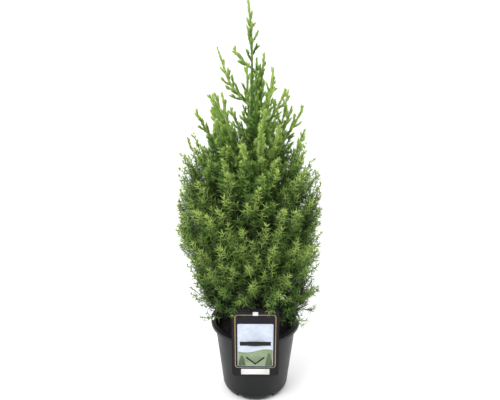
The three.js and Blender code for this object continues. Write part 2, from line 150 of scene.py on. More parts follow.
# Colours of the card's prints, dark and light, and their roughness
CARD_LOOKS = {
    "card_black": ((0.0060, 0.0052, 0.0085), (0.0095, 0.0082, 0.0130), 0.42),
    "card_gold": ((0.30, 0.20, 0.075), (0.44, 0.31, 0.13), 0.35),
    "card_panel": ((0.52, 0.57, 0.68), (0.64, 0.69, 0.78), 0.42),
    "card_hill_far": ((0.20, 0.26, 0.16), (0.27, 0.34, 0.21), 0.42),
    "card_hill_near": ((0.075, 0.11, 0.055), (0.12, 0.16, 0.085), 0.42),
    "card_white": ((0.70, 0.70, 0.70), (0.80, 0.80, 0.79), 0.45),
}

# Trunk and crown
GAP = 0.3
TIP_HEIGHT = 843
TRUNK_TOP = 714
TRUNK_LEAN = -8
LEADER_LEAN = -11
LEADER_SPRAY = 0.75
TRUNK_FLARE = 13
TRUNK_FOOT = 8.4
TRUNK_TIP = 1.5
TAPER_POWER = 0.9
FLARE_HEIGHT = 22
FLARE_FADE = 3
WIDEST_RADIUS = 155
WIDEST_HEIGHT = 430
SKIRT_RADIUS = 115
SKIRT_HEIGHT = 195
SHOULDER_POWER = 1.4
SKIRT_POWER = 0.9
CROWN_LEAN = -13
LEAN_FOLLOWED = 0.6
SPRAY_FRINGE = 16
LOWEST_SPRAY = 203

# Shoots, counted from the top of the crown down. A bough is thicker the lower its foot is.
SHOOT_COUNT = 31
FIRST_AZIMUTH = 180
LABEL_AZIMUTH = 270
GOLDEN_ANGLE = 137.5
FIRST_TIP = 735
TIP_STEP = 17.7
TIP_STEP_GROWTH = -0.045
BOUGHS_FROM = 8
BOUGH_SHARE = 0.15
BOUGH_RADII = (2, 3.6)
BOUGH_HEIGHTS = (600, 200)
BOUGH_TAPER = 0.6
FIRST_FOOT = 645
LAST_FOOT = 176
FOOT_POWER = 0.5
TIP_SHARES = (0.86, 1)
BEND = (0.8, 0.32)
LABEL_SIDE = 32
LABEL_CLEAR = 43
LABEL_BEND = (0.5, 0.9)
STEM_END = 0.9
STEM_CORE = 0.82
STEM_POINTS = 30
STEM_TIP_POINTS = 8
STEM_REACH = 0.75
SPRAY_LENGTH = 48
SPRAY_REACH = 0.9
SEED = 20261127

# Bark: furrows that wander along a limb and finer flakes, with their pitch round the limb and along it
FURROW = {"round": 2.6, "along": 0.035, "sharp": 2.2, "depth": 0.13, "sunk": 0.05}
FLAKE = {"round": 7, "along": 0.11, "depth": 0.06}
TRUNK_MESH = {"rings": 190, "sides": 32, "sunk": 0.008}
BOUGH_MESH = {"rings": 26, "sides": 14, "overlap": 0.01}

# Plumes: shoots that leave the stems and turn up, their tips spread evenly round the crown. Spires are slim
# ones that stand out of it. A rule gives the tips' heights, their shares of the crown's radius low down and
# where it opens, how far they crowd inwards, how many are left where it opens, and each plume's run, outward
# lean low and high in the crown, bare share and fullness.
PLUME = {"power": 1, "run": 75, "outward": (0.6, 0.6), "bare": 0.1, "fullness": 1}
OUTSIDE = {**PLUME, "count": 660, "heights": (200, 640), "share": (0.84, 1.12), "top_share": (0.55, 0.88),
           "power": 3, "left": 0.22, "channel": 80}
INSIDE = {**PLUME, "count": 1050, "heights": (200, 620), "share": (0.1, 0.9), "top_share": (0.1, 0.6),
          "left": 0.12, "channel": 90}
SPIRE = {**PLUME, "count": 82, "heights": (320, 695), "share": (0.98, 1.1), "top_share": (0.88, 1.12),
         "left": 0.9, "run": 110, "outward": (0.85, 0.42), "bare": 0.2, "fullness": 0.95, "channel": 100}
PLUME_JITTER = {"height": (-14, 14), "turn": (-9, 9)}
HEIGHT_STEPS = 200
LEAST_RISE = 0.3
LOW_RISE = 0.3
OPEN_FROM = 480
OPEN_TO = 620
OUTWARD_BELOW = 190
UPRIGHT_ABOVE = 330
LABEL_DROOP = -0.45
LABEL_DROOP_BELOW = 290

# A dense column of plumes beside the leading shoot, a few low shoots that reach past the rim, with the room
# round their tips, and a shoot on the other side of the leader. Tips are azimuths, distances and heights.
COMPANION = {"count": 8, "top": 748, "step": 10, "middle": (7, -3), "radius": 8, "trunk_from": 0.7,
             "run": 110, "outward": (0.08, 0.08), "bare": 0.2, "fullness": 0.75}
LOW_SHOOT = {**PLUME, "tips": [(180, 134, 228), (192, 130, 236), (214, 130, 216), (322, 132, 214),
                               (340, 132, 222), (0, 138, 243), (352, 134, 250)],
             "outward": (0.9, 0.9), "fullness": 1.5}
LOW_ROOM = 32
TOP_SHOOT = {**PLUME, "tips": [(180, 33, 757)], "run": 45}

# Tufts on stems and plumes, and sprigs on the longer tufts. A rule gives the spacing along the parent and the
# lean in degrees at the parent's foot and tip. Lengths grow with the distance from the parent's tip.
TUFT = {"spacing": 10, "last": 0.98, "lean": (56, 36), "least": 5, "growth": 0.24, "most": 19,
        "shortest": 3.5, "points": 5, "channel": 10}
SPRIG = {"spacing": 16, "last": 0.8, "lean": (50, 42), "least": 4, "growth": 0.3, "most": 8,
         "shortest": 3, "points": 3, "channel": 20}
SIDE_JITTER = {"turn": 40, "lean": (-10, 10), "length": (0.75, 1.15)}
UPWARD_PULL = 0.5
TUFT_BARE = 0.3
TUFT_BEND = 0.4
STEM_BARE = 0.25
SCALY_BARE = 0.1
SCALY_LEAN = 31
SCALY_SPACING = 0.95
SCALY_LENGTH = 1.35
CARD_ROOM = 8
RIM_ROOM = 6
LIMB_MARGIN = 1.2
TRUNK_BALLS = 91
BOUGH_BALLS = 13
POINTS_AT_ONCE = 8000

# Twigs: the tip's radius, how much thicker the foot is, and the sides. A stem's foot is thicker by a share of
# its bough's radius.
STEM_WOOD = {"tip": 0.35, "sides": 7}
STEM_FOOT = 0.62
PLUME_WOOD = {"foot": 0.8, "tip": 0.35, "sides": 4}
TUFT_WOOD = {"foot": 0.3, "tip": 0.3, "sides": 3}
SPRIG_WOOD = {"foot": 0.2, "tip": 0.25, "sides": 3}
PLUME_WOOD_POINTS = 9
TUFT_WOOD_POINTS = 3
TWIG_LOOKS = {
    "twig_wood": ((0.030, 0.030, 0.012), (0.085, 0.070, 0.026)),
    "tuft_wood": ((0.030, 0.060, 0.014), (0.075, 0.125, 0.026)),
}

# Needles low in the crown and scale leaves towards its top, in whorls. Their roots lie off the axis by the
# distances given for its foot and tip.
NEEDLE = {"length": 15, "width": 2.9, "spread": 62, "closing": 0.4, "spacing": 6}
SCALE = {"length": 7.5, "width": 4.4, "spread": 25, "closing": 0.3, "spacing": 2.5}
WHORL = {"needles": 3, "start": 0.6, "turn": 24, "spread": (-9, 9), "length": (0.8, 1.12), "tip_power": 3,
         "tip_length": 0.75, "tip_width": 0.85}
KEEL = 0.45
SCALY_FROM = 470
SCALY_TO = 610
SCALY_TIPS = 110
TIP_LENGTH = 12
LEAFY_TRUNK = 0.74
ROOTS = {"axes": (0.8, 0.3), "tufts": (0.4, 0.2), "sprigs": (0.3, 0.2)}
TUFT_FOOT = (0.25, 0.04)
SPRIG_FOOT = 0.04
PIECE_TRIANGLES = 190000
CHANNEL = {"trunk": 30, "axis_tint": 31, "tuft_tint": 32, "axes": 50, "tufts": 60, "sprigs": 70}

# Colours of the needles, from the inside of the crown to its tips, and how sprays are dealt among them. The
# darkest green is painted shade: sprays deep inside the crown are dealt darker tints as painted shade, sprays
# high in the crown lighter tints as painted light, sprays low in the crown darker tints, and needles are
# lighter at a spray's tip as new growth and darker at its foot as painted shade.
PAINTED_SHADE_GREEN = np.array([0.008, 0.014, 0.008])
LEAF_GREEN = np.array([0.135, 0.258, 0.049])
FRESH_GREEN = np.array([0.395, 0.545, 0.130])
TINT_COUNT = 7
# Needles are lighter towards a spray's tip as new growth, and darker at its foot as painted shade.
TIP_TINTS = 5
SCALY_TIP_TINTS = 2.5
TINT_MIDDLE = 0.6
TINT = {"least": 0.03, "outer": 0.58, "share": 0.34, "chance": 0.4, "high": 0.42, "inner": 0.8, "low": 0.25}
PAINTED_SHADE_DEPTHS = (-5, 42)
PAINTED_LIGHT_HEIGHTS = (440, 600)
TINT_LOW = (260, 430)
AXIS_TINT_SHARE = 0.4
TUFT_OWN_CHANCE = 0.45
TRUNK_TINTS = (2, 3, 4)

# Floor, and lights with their place, aim, size across and power, in metres and watts
FLOOR_HALF = 15
SKY_STRENGTH = 0.8
CROWN_AIM = (0, 0, 0.45)
LIGHTS = [
    ("key", (-1.2, -1.6, 2.6), CROWN_AIM, 1.6, 55),
    ("fill", (1.9, -1.1, 1.7), CROWN_AIM, 1.8, 12),
    ("back", (0, 2.4, 3), (0, 2.4, 0), 6, 90),
]

# Camera, fitted to the rim and the base of the pot in a picture 500 pixels wide
CAMERA_DISTANCE = 1500
CAMERA_HEIGHT = 1135
CAMERA_PITCH = 24.6
CAMERA_YAW = 0.447
FOCAL_PIXELS = 820
PICTURE_PIXELS = 500
SENSOR = 36


# Numbers and vectors

def lerp(a, b, share):
    return a + (b - a) * share


def smoothstep(value, low, high):
    share = np.clip((value - low) / (high - low), 0, 1)
    return share * share * (3 - 2 * share)


def unit(vectors):
    return vectors / np.linalg.norm(vectors, axis=-1, keepdims=True)


MIXERS = [np.uint32(number) for number in (374761393, 668265263, 2246822519, 3266489917)]


def chance(mass, twig, channel):
    """Seeded chance from 0 to 1 that depends only on its three whole-number keys."""
    keys = [np.asarray(key).astype(np.uint32) + np.uint32(1) for key in (mass, twig, channel)]
    with np.errstate(over="ignore"):
        h = np.uint32(SEED)
        for key, mixer in zip(keys, MIXERS):
            h = h ^ key * mixer
        h = (h ^ (h >> np.uint32(15))) * MIXERS[2]
        h = (h ^ (h >> np.uint32(13))) * MIXERS[3]
    return (h ^ (h >> np.uint32(16))) / 2 ** 32


def bezier(corners, share):
    """Points of a Bezier curve at shares of it."""
    share = np.asarray(share, float)[..., None]
    rows = [np.asarray(corner, float) for corner in corners]
    while len(rows) > 1:
        rows = [lerp(a, b, share) for a, b in zip(rows, rows[1:])]
    return rows[0]


def stretch(curve, start, end):
    """The stretch of a quadratic curve between two shares of it, as a curve of its own."""
    slope = 2 * lerp(curve[1] - curve[0], curve[2] - curve[1], start)
    first = bezier(curve, start)
    return np.array([first, first + slope * (end - start) / 2, bezier(curve, end)])


def path_lengths(paths):
    return np.linalg.norm(np.diff(paths, axis=1), axis=2).sum(1)


def along(paths, which, share):
    """Points and headings at shares of some of the paths, which all have the same count of points."""
    steps = paths.shape[1] - 1
    place = np.clip(share, 0, NEAR_END) * steps
    step = place.astype(int)
    start = paths[which, step]
    run = paths[which, step + 1] - start
    return start + run * (place - step)[:, None], unit(run)


def resampled(paths, points, ends=1):
    """Paths with a count of points, each up to a share of it."""
    which = np.repeat(np.arange(len(paths)), points)
    share = np.outer(np.ones(len(paths)) * ends, np.linspace(0, 1, points)).ravel()
    return along(paths, which, share)[0].reshape(len(paths), points, 3)


def dealt(counts):
    """For counts of things on each of several axes: the axis and the order of every thing, in turn."""
    axis = np.repeat(np.arange(len(counts)), counts)
    order = np.arange(len(axis)) - np.repeat(np.cumsum(counts) - counts, counts)
    return axis, order


def cross_axes(heading):
    """Two axes across each heading, the first of them level unless the heading is upright."""
    reference = np.where(np.abs(heading[:, 2:]) < STEEP, UP, np.array([1.0, 0.0, 0.0]))
    across = unit(np.cross(heading, reference))
    return across, np.cross(heading, across)


def together(sets):
    """Several sets of arrays, by name, as one set."""
    return {name: np.concatenate([one[name] for one in sets]) for name in sets[0]}


# Crown rule

def crown_radius(height):
    above = np.clip((height - WIDEST_HEIGHT) / (TIP_HEIGHT - WIDEST_HEIGHT), 0, 1)
    below = np.clip((WIDEST_HEIGHT - height) / (WIDEST_HEIGHT - SKIRT_HEIGHT), 0, None)
    shoulder = WIDEST_RADIUS * (1 - above ** SHOULDER_POWER)
    skirt = lerp(WIDEST_RADIUS, SKIRT_RADIUS, below ** SKIRT_POWER)
    return np.where(height > WIDEST_HEIGHT, shoulder, skirt)


def crown_middle(height):
    share = np.clip((height - SKIRT_HEIGHT) / (TIP_HEIGHT - SKIRT_HEIGHT), 0, 1)
    return CROWN_LEAN * np.sin(np.pi * share) + TRUNK_LEAN * share * LEAN_FOLLOWED


def crown_depth(points):
    """How far points lie inside the crown's outer surface, measured level."""
    out = np.hypot(points[..., 0] - crown_middle(points[..., 2]), points[..., 1])
    return crown_radius(points[..., 2]) - out


TRUNK_CURVE = np.array([
    [0, 0, SOIL_LEVEL + GAP],
    [0, 0, lerp(SOIL_LEVEL, TRUNK_TOP, 1 / 3)],
    [TRUNK_LEAN, 0, lerp(SOIL_LEVEL, TRUNK_TOP, 2 / 3)],
    [TRUNK_LEAN, 0, TRUNK_TOP],
])


def trunk_radius(share):
    above_soil = share * (TRUNK_TOP - SOIL_LEVEL)
    flare = (TRUNK_FLARE - TRUNK_FOOT) * np.exp(-FLARE_FADE * above_soil / FLARE_HEIGHT)
    return lerp(TRUNK_FOOT, TRUNK_TIP, np.clip(share, 0, 1) ** TAPER_POWER) + flare


def shoot_rule(index):
    azimuth = (FIRST_AZIMUTH + GOLDEN_ANGLE * index) % 360
    rule = FIRST_TIP - TIP_STEP * index - TIP_STEP_GROWTH * index ** 2
    over_label_height = POT_HEIGHT + CARD_ABOVE_RIM + LABEL_CLEAR
    over_label = abs(azimuth - LABEL_AZIMUTH) < LABEL_SIDE and rule < over_label_height
    height = over_label_height if over_label else rule
    radius = crown_radius(height) * lerp(*TIP_SHARES, chance(index, 0, 1))
    foot_height = lerp(FIRST_FOOT, LAST_FOOT, (index / (SHOOT_COUNT - 1)) ** FOOT_POWER)
    foot = bezier(TRUNK_CURVE, (foot_height - SOIL_LEVEL) / (TRUNK_TOP - SOIL_LEVEL))
    turn = math.radians(azimuth)
    tip = np.array([crown_middle(height) + radius * math.cos(turn), radius * math.sin(turn), height])
    out, up = LABEL_BEND if over_label else BEND
    bend = lerp(foot, tip, out)
    bend[2] = lerp(foot[2], tip[2], up)
    run = unit((tip - foot) * LEVEL)
    side = np.array([-run[1], run[0], 0])
    curve = np.array([foot, bend, tip])
    stem = stretch(curve, 0 if index < BOUGHS_FROM else BOUGH_SHARE, STEM_END)
    return {"index": index, "foot": foot, "curve": curve, "side": side, "stem": stem}


def leader_rule():
    stem = np.array([
        [TRUNK_LEAN, 0, TRUNK_TOP],
        [TRUNK_LEAN, 0, lerp(TRUNK_TOP, TIP_HEIGHT, 0.5)],
        [LEADER_LEAN, 0, TIP_HEIGHT - SPRAY_LENGTH * LEADER_SPRAY],
    ])
    return {"side": np.array([0.0, 1.0, 0.0]), "stem": stem}


def bough_radius(shoot, share):
    high, low = BOUGH_HEIGHTS
    foot = lerp(*BOUGH_RADII, np.clip((high - shoot["foot"][2]) / (high - low), 0, 1))
    return lerp(foot, foot * BOUGH_TAPER, share)


SHOOTS = [shoot_rule(index) for index in range(SHOOT_COUNT)]
MASSES = [*SHOOTS, leader_rule()]
BOUGH_SHOOTS = SHOOTS[BOUGHS_FROM:]
SIDES = np.array([mass["side"] for mass in MASSES])


def side_axes(heading, mass):
    """The axis across each heading nearest to its mass's side, and the one across both."""
    across = SIDES[mass] - heading * (heading * SIDES[mass]).sum(1, keepdims=True)
    across = unit(across + NUDGE)
    return across, np.cross(heading, across)


# Space that the sprays keep to

def limb_balls():
    """Limbs as chains of balls, to test what comes too close to them."""
    share = np.linspace(0, 1, TRUNK_BALLS)
    centres = [bezier(TRUNK_CURVE, share)]
    radii = [trunk_radius(share)]
    share = np.linspace(0, 1, BOUGH_BALLS)
    for shoot in BOUGH_SHOOTS:
        centres.append(bezier(shoot["curve"], share * BOUGH_SHARE))
        radii.append(bough_radius(shoot, share))
    return np.concatenate(centres), np.concatenate(radii)


LIMB_CENTRES, LIMB_RADII = limb_balls()


def round_crown(turn, radius, height):
    """Points at an angle and a distance from the middle of the crown, at a height."""
    return np.stack([crown_middle(height) + radius * np.cos(turn), radius * np.sin(turn), height], 1)


def given_tips(rule):
    azimuth, radius, height = np.array(rule["tips"], float).T
    return round_crown(np.radians(azimuth), radius, height)


LOW_TIPS = given_tips(LOW_SHOOT)


def distances(points, centres):
    square = (points ** 2).sum(1)[:, None] + (centres ** 2).sum(1) - 2 * points @ centres.T
    return np.sqrt(np.maximum(square, 0))


def inside_box(points):
    """Whether points lie in the box round the solids."""
    return ((points > BOX_LOW) & (points < BOX_HIGH)).all(1)


def clear_of_limbs(points):
    return (distances(points, LIMB_CENTRES) > LIMB_RADII + LIMB_MARGIN).all(1)


def clear_of_pot(points):
    x, y, z = points.T
    card_depth = CARD_DEPTH + (z - POT_HEIGHT) * math.tan(math.radians(CARD_TILT))
    by_card = (z < POT_HEIGHT + CARD_ABOVE_RIM + CARD_ROOM) & (np.abs(x) < CARD_WIDTH / 2 + CARD_ROOM)
    in_card = by_card & (np.abs(-y - card_depth) < CARD_ROOM)
    outside = np.hypot(x, y) > RIM_RADIUS + RIM_ROOM
    return ((z > LOWEST_SPRAY) | outside) & ~in_card


def in_crown(points):
    """Whether points lie in the crown or round the tip of a low shoot."""
    return (crown_depth(points) > -SPRAY_FRINGE) | (distances(points, LOW_TIPS).min(1) < LOW_ROOM)


def is_free(points):
    """Whether points lie in the crown, clear of limbs, pot and card."""
    free = in_crown(points) & inside_box(points) & clear_of_pot(points)
    for rows in np.array_split(np.arange(len(points)), max(1, len(points) // POINTS_AT_ONCE)):
        free[rows] &= clear_of_limbs(points[rows])
    return free


def trim(paths):
    """Paths cut where they leave the free space, with the lengths that are left."""
    count, points = paths.shape[:2]
    blocked = ~is_free(paths[:, 1:].reshape(-1, 3)).reshape(count, points - 1)
    share = np.where(blocked.any(1), blocked.argmax(1), points - 1) / (points - 1)
    return resampled(paths, points, share), path_lengths(paths) * share


# Growth

def grow_paths(start, heading, pull, length, bend, points):
    """Paths that set out along a heading and bend towards a pull."""
    path = [start]
    for step in range(points - 1):
        share = bend * (step + 0.5) / (points - 1)
        path.append(path[-1] + unit(lerp(heading, pull, share)) * (length / (points - 1))[:, None])
    return np.stack(path, 1)


def stem_paths():
    """Each mass's stem, run on to the tip of its last spray."""
    paths = []
    for mass in MASSES:
        core = bezier(mass["stem"], np.linspace(0, STEM_CORE, STEM_POINTS - STEM_TIP_POINTS))
        run = bezier(mass["stem"], 1.0) - core[-1]
        reach = STEM_REACH * np.linalg.norm(run) + SPRAY_REACH * SPRAY_LENGTH
        last = core[-1] + np.outer(np.linspace(0, reach, STEM_TIP_POINTS + 1)[1:], unit(run))
        paths.append(np.concatenate([core, last]))
    return np.array(paths)


def scaly_share(paths):
    """How far paths bear scale leaves in place of needles: high in the crown, and at its outermost tips."""
    middle = paths.mean(1)
    outer = 1 - smoothstep(crown_depth(middle), -SPRAY_FRINGE, SPRAY_FRINGE)
    return smoothstep(middle[:, 2] + SCALY_TIPS * outer, SCALY_FROM, SCALY_TO)


def plume_tips(rule):
    """Tips at the golden angle round the crown, from below upwards, fewer where it opens towards the top."""
    grid = np.linspace(*rule["heights"], HEIGHT_STEPS)
    density = crown_radius(grid) * lerp(1, rule["left"], smoothstep(grid, OPEN_FROM, OPEN_TO))
    order = np.arange(rule["count"])
    up_chance, turn_chance, out_chance = (chance(order, 0, rule["channel"] + extra) for extra in range(3))
    height = np.interp((order + 0.5) / len(order), np.cumsum(density) / density.sum(), grid)
    height = height + lerp(*PLUME_JITTER["height"], up_chance)
    turn = np.radians(GOLDEN_ANGLE * order + lerp(*PLUME_JITTER["turn"], turn_chance))
    opening = smoothstep(height, OPEN_FROM, OPEN_TO)
    least, most = (lerp(low, high, opening) for low, high in zip(rule["share"], rule["top_share"]))
    return round_crown(turn, crown_radius(height) * lerp(least, most, out_chance ** rule["power"]), height)


def companion_tips():
    order = np.arange(COMPANION["count"])
    turn = np.radians(GOLDEN_ANGLE * order)
    x, y = COMPANION["middle"]
    out = COMPANION["radius"]
    height = COMPANION["top"] - COMPANION["step"] * order
    return np.stack([x + out * np.cos(turn), y + out * np.sin(turn), height], 1)


def plume_headings(tips, outwards):
    """Headings at the tips: low in the crown outwards, higher up more and more upright."""
    out = unit(tips * LEVEL + MIDDLE_NUDGE)
    rise = lerp(LOW_RISE, 1, smoothstep(tips[:, 2], OUTWARD_BELOW, UPRIGHT_ABOVE))
    over_label = (np.abs(tips[:, 0]) < CARD_WIDTH / 2) & (tips[:, 1] < 0) & (tips[:, 2] < LABEL_DROOP_BELOW)
    rise = np.where(over_label, LABEL_DROOP, rise)
    outward = lerp(*outwards, smoothstep(tips[:, 2], WIDEST_HEIGHT, OPEN_TO))
    return unit(UP * rise[:, None] + out * outward[:, None])


def beside_trunk():
    """Places along the trunk's upper part, just clear of it."""
    places = bezier(TRUNK_CURVE, np.linspace(COMPANION["trunk_from"], 1, STEM_POINTS))
    return places + np.array([2 * LIMB_MARGIN + TRUNK_TIP, 0, 0])


def grow_plumes(spots, rule, tips):
    """A plume for each tip, from the spot that comes nearest to a place below the tip."""
    heading = plume_headings(tips, rule["outward"])
    usable = clear_of_limbs(spots) & clear_of_pot(spots)
    gaps = distances(tips - heading * rule["run"], spots)
    nearest = np.where(usable, gaps, np.inf).argmin(1)
    start = spots[nearest]
    bend = tips - heading * np.linalg.norm(tips - start, axis=1, keepdims=True) / 2
    paths = bezier([start, bend, tips], np.linspace(0, 1, STEM_POINTS)[:, None]).swapaxes(0, 1)
    paths, length = trim(paths)
    found = {"mass": nearest // STEM_POINTS, "paths": paths, "length": length}
    for name in ("bare", "fullness"):
        found[name] = np.full(len(tips), rule[name])
    rises = paths[:, -1, 2] - paths[:, 0, 2] > LEAST_RISE * length
    kept = (length > TUFT["most"]) & (rises | (tips[:, 2] < UPRIGHT_ABOVE))
    return {name: values[kept] for name, values in found.items()}


def side_growth(rule, parents):
    """Side shoots round their parents, at the golden angle, cut where they leave the free space."""
    paths = parents["paths"]
    scaly_parent = scaly_share(paths)
    room = parents["length"] * (rule["last"] - parents["bare"])
    counts = np.round(room / (rule["spacing"] * lerp(1, SCALY_SPACING, scaly_parent))).astype(int)
    parent, order = dealt(counts)
    mass = parents["mass"][parent]
    scaly = scaly_parent[parent]
    share = lerp(parents["bare"][parent], rule["last"], (order + 0.5) / counts[parent])
    start, tangent = along(paths, parent, share)
    across, outward = side_axes(tangent, mass)
    channel = rule["channel"]
    turn = GOLDEN_ANGLE * order + SIDE_JITTER["turn"] * chance(parent, order, channel)
    turn = np.radians(turn + 360 * chance(parent, 0, channel + 1))[:, None]
    lean = lerp(*rule["lean"], share)
    lean = lerp(lean, np.minimum(lean, SCALY_LEAN), scaly)
    lean = np.radians(lean + lerp(*SIDE_JITTER["lean"], chance(parent, order, channel + 2)))[:, None]
    heading = tangent * np.cos(lean) + (outward * np.cos(turn) + across * np.sin(turn)) * np.sin(lean)
    length = rule["least"] + rule["growth"] * (1 - share) * parents["length"][parent]
    length = np.minimum(length, rule["most"]) * lerp(1, SCALY_LENGTH, scaly) * parents["fullness"][parent]
    length = length * lerp(*SIDE_JITTER["length"], chance(parent, order, channel + 3))
    pull = unit(tangent + UP * UPWARD_PULL)
    grown, length = trim(grow_paths(start, heading, pull, length, TUFT_BEND, rule["points"]))
    found = {"mass": mass, "parent": parent, "share": share, "paths": grown, "length": length}
    return {name: values[length > rule["shortest"]] for name, values in found.items()}


def grow_crown():
    """Axes, which are stems and plumes, then tufts and sprigs: paths with their mass and their bare share."""
    paths = stem_paths()
    stems = {
        "mass": np.arange(len(paths)),
        "paths": paths,
        "length": path_lengths(paths),
        "bare": lerp(STEM_BARE, SCALY_BARE, scaly_share(paths)),
        "fullness": np.ones(len(paths)),
    }
    spots = paths.reshape(-1, 3)
    plumes = [grow_plumes(spots, rule, plume_tips(rule)) for rule in (OUTSIDE, INSIDE, SPIRE)]
    plumes.append(grow_plumes(beside_trunk(), COMPANION, companion_tips()))
    plumes += [grow_plumes(spots, rule, given_tips(rule)) for rule in (LOW_SHOOT, TOP_SHOOT)]
    axes = together([stems, *plumes])
    tufts = side_growth(TUFT, axes)
    tufts["bare"] = np.full(len(tufts["paths"]), TUFT_BARE)
    tufts["fullness"] = axes["fullness"][tufts["parent"]]
    return {"axes": axes, "tufts": tufts, "sprigs": side_growth(SPRIG, tufts)}


def tint_rule(points, share, spray_chance):
    """Where among the tints a spray lies: darker deep inside the crown as painted shade, fresh at its tips,
    lighter high in the crown as painted light, darker low in the crown, with some chance.
    """
    # Sprays deep inside the crown are dealt darker tints: painted shade, with fresher growth at its surface.
    outer = 1 - smoothstep(crown_depth(points), *PAINTED_SHADE_DEPTHS)
    high = smoothstep(points[:, 2], *PAINTED_LIGHT_HEIGHTS)
    low = 1 - smoothstep(points[:, 2], *TINT_LOW)
    value = TINT["least"] + TINT["outer"] * outer + TINT["share"] * share
    value = value + TINT["chance"] * (spray_chance - 0.5)
    # Lighter high in the crown, most of all inside it: painted light for the dimmer light on the upright
    # scale leaves. Darker low in the crown.
    value = value + TINT["high"] * high * (1 - TINT["inner"] * outer) - TINT["low"] * low
    return value * TINT_COUNT


def needles_on(paths, tint, begin, sunk, channel):
    """Whorls of needles along paths: roots, headings, axes across, lengths, widths and tints.

    begin is the share of each path that stays bare, sunk the distances of the roots from the axis at a path's
    foot and tip.
    """
    run = path_lengths(paths)
    scaly = scaly_share(paths)
    form = {key: lerp(NEEDLE[key], SCALE[key], scaly) for key in NEEDLE}
    counts = np.maximum(1, (run * (1 - begin) / form["spacing"]).astype(int))
    each = WHORL["needles"]
    axis, order = dealt(counts * each)
    form = {key: values[axis] for key, values in form.items()}
    whorl = order // each
    place = (whorl + WHORL["start"]) / counts[axis]
    share = lerp(begin[axis], 1, place)
    point, tangent = along(paths, axis, share)
    across, outward = cross_axes(tangent)
    jitter = chance(axis, order, channel)
    step = 360 / each
    turn = step * (order % each) + step / 2 * (whorl % 2)
    turn = np.radians(turn + 360 * chance(axis, 0, channel + 1) + WHORL["turn"] * jitter)[:, None]
    radial = across * np.cos(turn) + outward * np.sin(turn)
    from_tip = run[axis] * (1 - share)
    near_tip = np.minimum(share ** WHORL["tip_power"], np.maximum(0, 1 - from_tip / TIP_LENGTH))
    # Lighter towards the tip as new growth, darker at the foot as painted shade.
    tip_tints = lerp(TIP_TINTS, SCALY_TIP_TINTS, scaly[axis])
    spread = form["spread"] * lerp(1, form["closing"], near_tip)
    spread = np.radians(spread + lerp(*WHORL["spread"], chance(axis, order, channel + 2)))[:, None]
    heading = tangent * np.cos(spread) + radial * np.sin(spread)
    return {
        "root": point + radial * lerp(*sunk, share)[:, None],
        "heading": heading,
        "across": np.cross(heading, radial),
        "length": form["length"] * lerp(*WHORL["length"], jitter) * lerp(1, WHORL["tip_length"], near_tip),
        "width": form["width"] * lerp(1, WHORL["tip_width"], near_tip),
        "tint": np.clip(tint[axis] + tip_tints * (place - TINT_MIDDLE), 0, TINT_COUNT - 1).astype(int),
    }


# Meshes

def new_object(name, mesh, material, smooth):
    if smooth:
        mesh.polygons.foreach_set("use_smooth", np.ones(len(mesh.polygons), bool))
    mesh.materials.append(material)
    made = bpy.data.objects.new(name, mesh)
    bpy.context.scene.collection.objects.link(made)
    return made


def array_mesh(name, vertices, faces):
    """A mesh from arrays of corners, in millimetres, and of triangles."""
    mesh = bpy.data.meshes.new(name)
    mesh.vertices.add(len(vertices))
    mesh.vertices.foreach_set("co", (np.asarray(vertices) * MM).astype(np.float32).ravel())
    mesh.loops.add(faces.size)
    mesh.loops.foreach_set("vertex_index", faces.astype(np.int32).ravel())
    mesh.polygons.add(len(faces))
    mesh.polygons.foreach_set("loop_start", np.arange(0, faces.size, 3, dtype=np.int32))
    mesh.update(calc_edges=True)
    return mesh


def add_piece(mesh, material, smooth, slot, *nodes):
    """A piece on the body, with its material and the solids that it stands for. The slot is not used."""
    piece = new_object(mesh.name, mesh, material, smooth)
    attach(piece, "root")
    if nodes:
        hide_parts(*nodes)


def joined(parts):
    """Several pairs of corners and triangles as one pair."""
    offsets = np.cumsum([0] + [len(vertices) for vertices, _ in parts])
    faces = [faces + offset for (_, faces), offset in zip(parts, offsets)]
    return np.concatenate([vertices for vertices, _ in parts]), np.concatenate(faces)


def copied(faces, count, stride):
    """The triangles of one thing for a count of things like it, with a stride of corners each."""
    return (faces[None] + stride * np.arange(count)[:, None, None]).reshape(-1, 3)


def tube_faces(rings, sides):
    """Triangles of one closed tube: its rings, then its tip, then the middle of its foot."""
    ring = np.arange(rings - 1)[:, None] * sides
    here = np.arange(sides)
    there = (here + 1) % sides
    a, b = (ring + here).ravel(), (ring + there).ravel()
    wall = np.concatenate([np.stack([a, b, b + sides], 1), np.stack([a, b + sides, a + sides], 1)])
    tip = rings * sides
    last = (rings - 1) * sides
    cone = np.stack([last + here, last + there, np.full(sides, tip)], 1)
    foot = np.stack([there, here, np.full(sides, tip + 1)], 1)
    return np.concatenate([wall, cone, foot])


def tubes(paths, radii, sides):
    """Closed tapering tubes along paths, each ending in a point. radii has one row for each path."""
    count, points = paths.shape[:2]
    heading = unit(np.gradient(paths, axis=1))
    chord = np.abs(paths[:, -1] - paths[:, 0])
    reference = np.eye(3)[chord.argmin(1)][:, None]
    across = unit(np.cross(heading, reference))
    upward = np.cross(heading, across)
    angle = np.arange(sides) * 2 * np.pi / sides
    ring = across[:, :, None] * np.cos(angle)[:, None] + upward[:, :, None] * np.sin(angle)[:, None]
    body = (paths[:, :, None] + ring * radii[:, :, None, None])[:, :-1]
    vertices = np.concatenate([body.reshape(count, -1, 3), paths[:, -1:], paths[:, :1]], 1)
    return vertices.reshape(-1, 3), copied(tube_faces(points - 1, sides), count, vertices.shape[1])


NEEDLE_FACES = np.array([[0, 1, 3], [1, 2, 3], [2, 0, 3], [0, 2, 1]])


